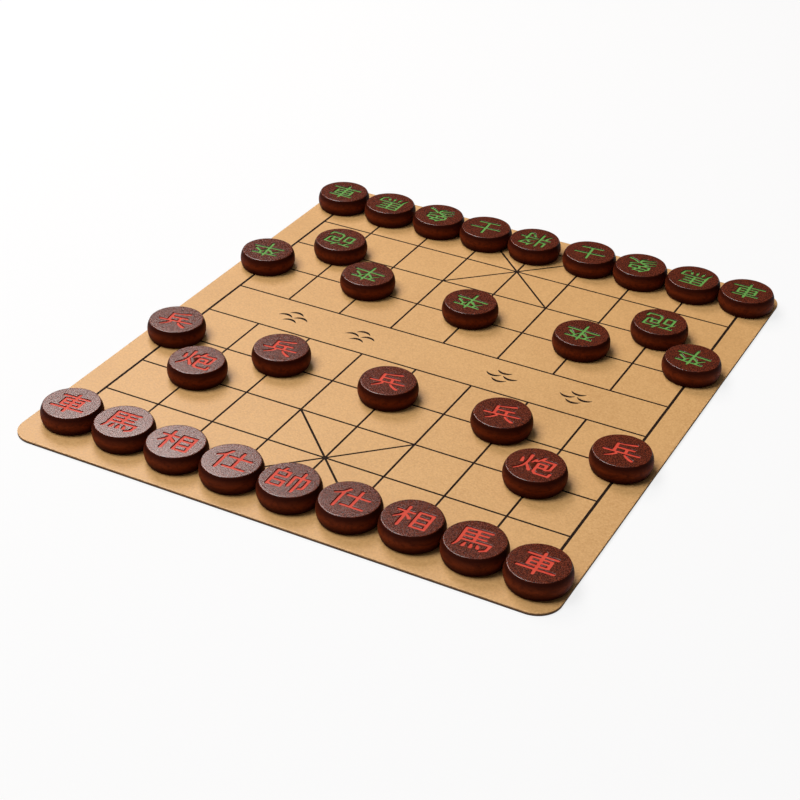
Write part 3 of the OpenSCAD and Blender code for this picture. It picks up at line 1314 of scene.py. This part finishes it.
@dataclass
class PrintedFace(Sheet):
    """The tan top sheet, with its print stamped a little into the surface."""

    stamp_depth: float = 0.1 * MM
    wave_sides: int = 128
    top_upright: float = 0.7

    def build(self, grid: Grid, *finishes: bpy.types.Material) -> None:
        """Makes the sheet with its print.

        Args:
            grid: What is printed.
            *finishes: The materials of the sheet's surface, of the print and of the sheet's cut edge.
        """
        g = GeometryGraph("printed sheet")
        blank = self.blank(g)
        depth = g.input("Stamp Depth")
        names = ("Leather", "Ink", "Edge")
        plain, ink, edge = (g.input(name, "NodeSocketMaterial") for name in names)
        top = g.vector(z=g.start.outputs["Thickness"])
        lines, waves = (g.moved(stamps, top) for stamps in (self.lines(g, depth), self.waves(g, depth)))
        normal = g.made("GeometryNodeInputNormal")
        is_edge = g.test("LESS_THAN", g.upward(normal), self.top_upright)
        dressed = g.painted(g.painted(blank, plain), edge, is_edge)
        cut = g.cut(dressed, {lines: ink, waves: ink})
        is_print = g.made("GeometryNodeMaterialSelection", {"Material": ink})
        g.finish(cut, ink, is_print)
        chains = [[(*a, side / 2, 0.0), (*b, side / 2, 0.0)] for a, b, side in grid.bars()]
        chains += [[(*spot, 0.0, turn)] for spot, turn in grid.waves()]
        values = {
            "Stamp Depth": self.stamp_depth,
            **dict(zip(names, finishes)),
            "Wave Width": grid.wave_width,
            "Wave Height": grid.wave_height,
            "Wave Line": grid.wave_line,
        }
        self.set_down(g, skeleton_mesh("print", chains, ("half_side", "turn")), values)

    def lines(self, g: GeometryGraph, depth: Wire) -> Socket:
        """The stamps of all lines: a square bit run along every edge of the skeleton.

        Args:
            g: The sheet's tree.
            depth: The depth of the stamp.

        Returns:
            The stamps as one solid.
        """
        bit = g.add("GeometryNodeMeshCube", {"Size": g.vector(2.0, 2.0, g.math("MULTIPLY", depth, 2.0))})
        half_side = g.named("half_side")
        return g.swept(bit.outputs["Mesh"], g.vector(half_side, half_side, 1.0))

    def waves(self, g: GeometryGraph, depth: Wire) -> Socket:
        """The stamps of all waves: a crescent on every loose point of the skeleton.

        Args:
            g: The sheet's tree.
            depth: The depth of the stamp.

        Returns:
            The stamps as one geometry.
        """
        width, height, line = (g.input(name) for name in ("Wave Width", "Wave Height", "Wave Line"))
        hollow = g.math("SUBTRACT", height, line)
        outer = self.cap(g, width, height, g.math("MULTIPLY", depth, 2.0))
        inner = self.cap(g, width, hollow, g.math("MULTIPLY", depth, 4.0))
        crescent = g.boolean("DIFFERENCE", outer, inner)
        is_loose = g.test("LESS_THAN", g.named("half_side"), WELD)
        turn = g.made("FunctionNodeEulerToRotation", {0: g.vector(z=g.named("turn"))})
        spots = {"Points": g.skeleton, "Selection": is_loose, "Instance": crescent, "Rotation": turn}
        placed = g.made("GeometryNodeInstanceOnPoints", spots)
        return g.made("GeometryNodeRealizeInstances", {0: placed})

    def cap(self, g: GeometryGraph, width: Wire, height: Wire, depth: Wire) -> Socket:
        """An upright cylinder that stands out above the X axis as a cap.

        Args:
            g: The sheet's tree.
            width: The width of the cap on the axis.
            height: How far the cap rises above it.
            depth: The length of the cylinder.

        Returns:
            The cylinder.
        """
        half = g.math("DIVIDE", width, 2.0)
        squares = g.math("ADD", g.math("MULTIPLY", half, half), g.math("MULTIPLY", height, height))
        radius = g.math("DIVIDE", squares, g.math("MULTIPLY", height, 2.0))
        disc = {"Vertices": self.wave_sides, "Radius": radius, "Depth": depth}
        cylinder = g.add("GeometryNodeMeshCylinder", disc).outputs["Mesh"]
        return g.moved(cylinder, g.vector(y=g.math("SUBTRACT", height, radius)))


@dataclass(frozen=True)
class SoftBox:
    """A square lamp that looks at the middle of the board."""

    name: str
    azimuth: float
    elevation: float
    distance: float
    side: float
    radiance: float
    colour: Colour

    def build(self) -> None:
        """Hangs the lamp, azimuth from +Y towards -X and elevation above the floor, both in degrees."""
        turn, rise = math.radians(self.azimuth), math.radians(self.elevation)
        towards = Vector((-math.sin(turn) * math.cos(rise), math.cos(turn) * math.cos(rise), math.sin(rise)))
        lamp = bpy.data.lights.new(self.name, "AREA")
        lamp.shape = "SQUARE"
        lamp.size = self.side
        lamp.energy = self.radiance * math.pi * self.side**2
        lamp.color = self.colour
        hung = in_scene(self.name, lamp)
        hung.location = towards * self.distance
        hung.rotation_euler = towards.to_track_quat("Z", "Y").to_euler()


@dataclass
class Studio:
    """The camera, the lamps, the world and the floor."""

    camera_at: tuple[float, float, float] = (0.4363, -0.9118, 0.5958)
    aim: tuple[float, float, float] = (0.0087, -0.0538, 0.0020)
    roll: float = math.radians(2.068)
    lens: float = 78.1
    sensor_width: float = 36.0
    nearest_seen: float = 0.05
    floor_half: float = 4.0
    floor_colour: Colour = (0.90, 0.90, 0.90)
    seen_white: float = 0.8
    air_radiance: float = 0.04
    horizon: float = 0.05
    lamps: tuple[SoftBox, ...] = (
        SoftBox("key", 116.0, 63.0, 3.0, 1.5, 8.9, WHITE),
        SoftBox("window", 51.3, 45.2, 2.2, 0.84, 8.6, (1.0, 0.89, 0.855)),
        SoftBox("sky", 0.0, 90.0, 2.0, 1.6, 0.5, WHITE),
        SoftBox("fill", -150.0, 35.0, 2.5, 1.2, 0.2, WHITE),
    )

    def build(self) -> None:
        """Sets up everything that is not the object."""
        self.set_camera()
        for lamp in self.lamps:
            lamp.build()
        self.lay_floor()
        self.light_air()
        bpy.context.scene.view_settings.view_transform = "Standard"

    def set_camera(self) -> None:
        """Puts the camera at the photographed angle."""
        seen = bpy.data.cameras.new("camera")
        seen.lens = self.lens
        seen.sensor_width = self.sensor_width
        seen.clip_start = self.nearest_seen
        camera = in_scene("camera", seen)
        camera.location = self.camera_at
        straight = (Vector(self.aim) - Vector(self.camera_at)).to_track_quat("-Z", "Y").to_matrix()
        camera.rotation_euler = (straight @ Matrix.Rotation(self.roll, 3, "Z")).to_euler()
        bpy.context.scene.camera = camera

    @staticmethod
    def seen_directly(graph: Graph) -> list[Socket]:
        """Where a ray comes from.

        Args:
            graph: The tree that asks.

        Returns:
            Whether it comes from the camera, and whether it comes from a mirror or through glass.
        """
        path = graph.add("ShaderNodeLightPath").outputs
        mirrored = graph.math("MAXIMUM", path["Is Glossy Ray"], path["Is Transmission Ray"])
        return [path["Is Camera Ray"], mirrored]

    def lay_floor(self) -> None:
        """Lays a plain near-white floor, which looks white where no shadow falls on it."""
        half = self.floor_half
        mesh = bpy.data.meshes.new("floor")
        corners = [(-half, -half, 0.0), (half, -half, 0.0), (half, half, 0.0), (-half, half, 0.0)]
        mesh.from_pydata(corners, [], [(0, 1, 2, 3)])
        f = Finish("floor")
        matt = f.set(Base_Color=self.floor_colour, Roughness=0.9, Specular_IOR_Level=0.1)
        white = f.made("ShaderNodeEmission", {"Color": opaque(WHITE), "Strength": 1.0})
        camera, mirrored = self.seen_directly(f)
        share = f.math("MULTIPLY", f.math("MAXIMUM", camera, mirrored), self.seen_white)
        mixed = f.add("ShaderNodeMixShader", {0: share, 1: f.surface.outputs[0], 2: white})
        f.wire(f.output.inputs["Surface"], mixed.outputs[0])
        mesh.materials.append(matt)
        in_scene("floor", mesh)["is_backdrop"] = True

    def light_air(self) -> None:
        """Fills the world with even grey light that looks white to the camera, and low down to gloss."""
        world = bpy.data.worlds.new("air")
        world.use_nodes = True
        g = Graph(world.node_tree)
        g.tree.nodes.clear()
        camera, mirrored = self.seen_directly(g)
        place = g.add("ShaderNodeTexCoord").outputs["Generated"]
        rising = {0: g.upward(place), 1: 0.0, 2: self.horizon, 3: 1.0, 4: 0.0}
        low = g.made("ShaderNodeMapRange", rising)
        share = g.math("MAXIMUM", camera, g.math("MULTIPLY", mirrored, low))
        air = [opaque((level,) * 3) for level in (self.air_radiance, 1.0)]
        colour = g.add("ShaderNodeMix", {0: share, 6: air[0], 7: air[1]}, data_type="RGBA").outputs[2]
        shine = g.made("ShaderNodeBackground", {"Color": colour, "Strength": 1.0})
        g.add("ShaderNodeOutputWorld", {"Surface": shine})
        bpy.context.scene.world = world


def corners() -> list[list[float]]:
    """The lowest and the highest corner of what is shown."""
    return [list(corner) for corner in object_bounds()]


def main() -> None:
    """Builds every piece in order."""
    logging.basicConfig(level=logging.INFO, format="%(name)s: %(message)s")
    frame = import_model()

    Studio().build()

    suede = NappedBacking().material()
    Backing("board_backing", "napped_backing", "backing", high_ease=0.1 * MM, low_ease=0.4 * MM).build(suede)
    face = PrintedFace("board_face", "printed_face", "face", high_ease=0.3 * MM, low_ease=0.1 * MM)
    face.build(Grid(), TanLeather().material(), PrintInk().material(), CutLeather().material())

    low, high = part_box("red_general")
    Armies(frame, Disc(high.x - low.x, high.z - low.z, LACQUERED.material(), PLAIN_WITH_PAINTED_LIGHT.material())).build()


if __name__ == "__main__":
    main()
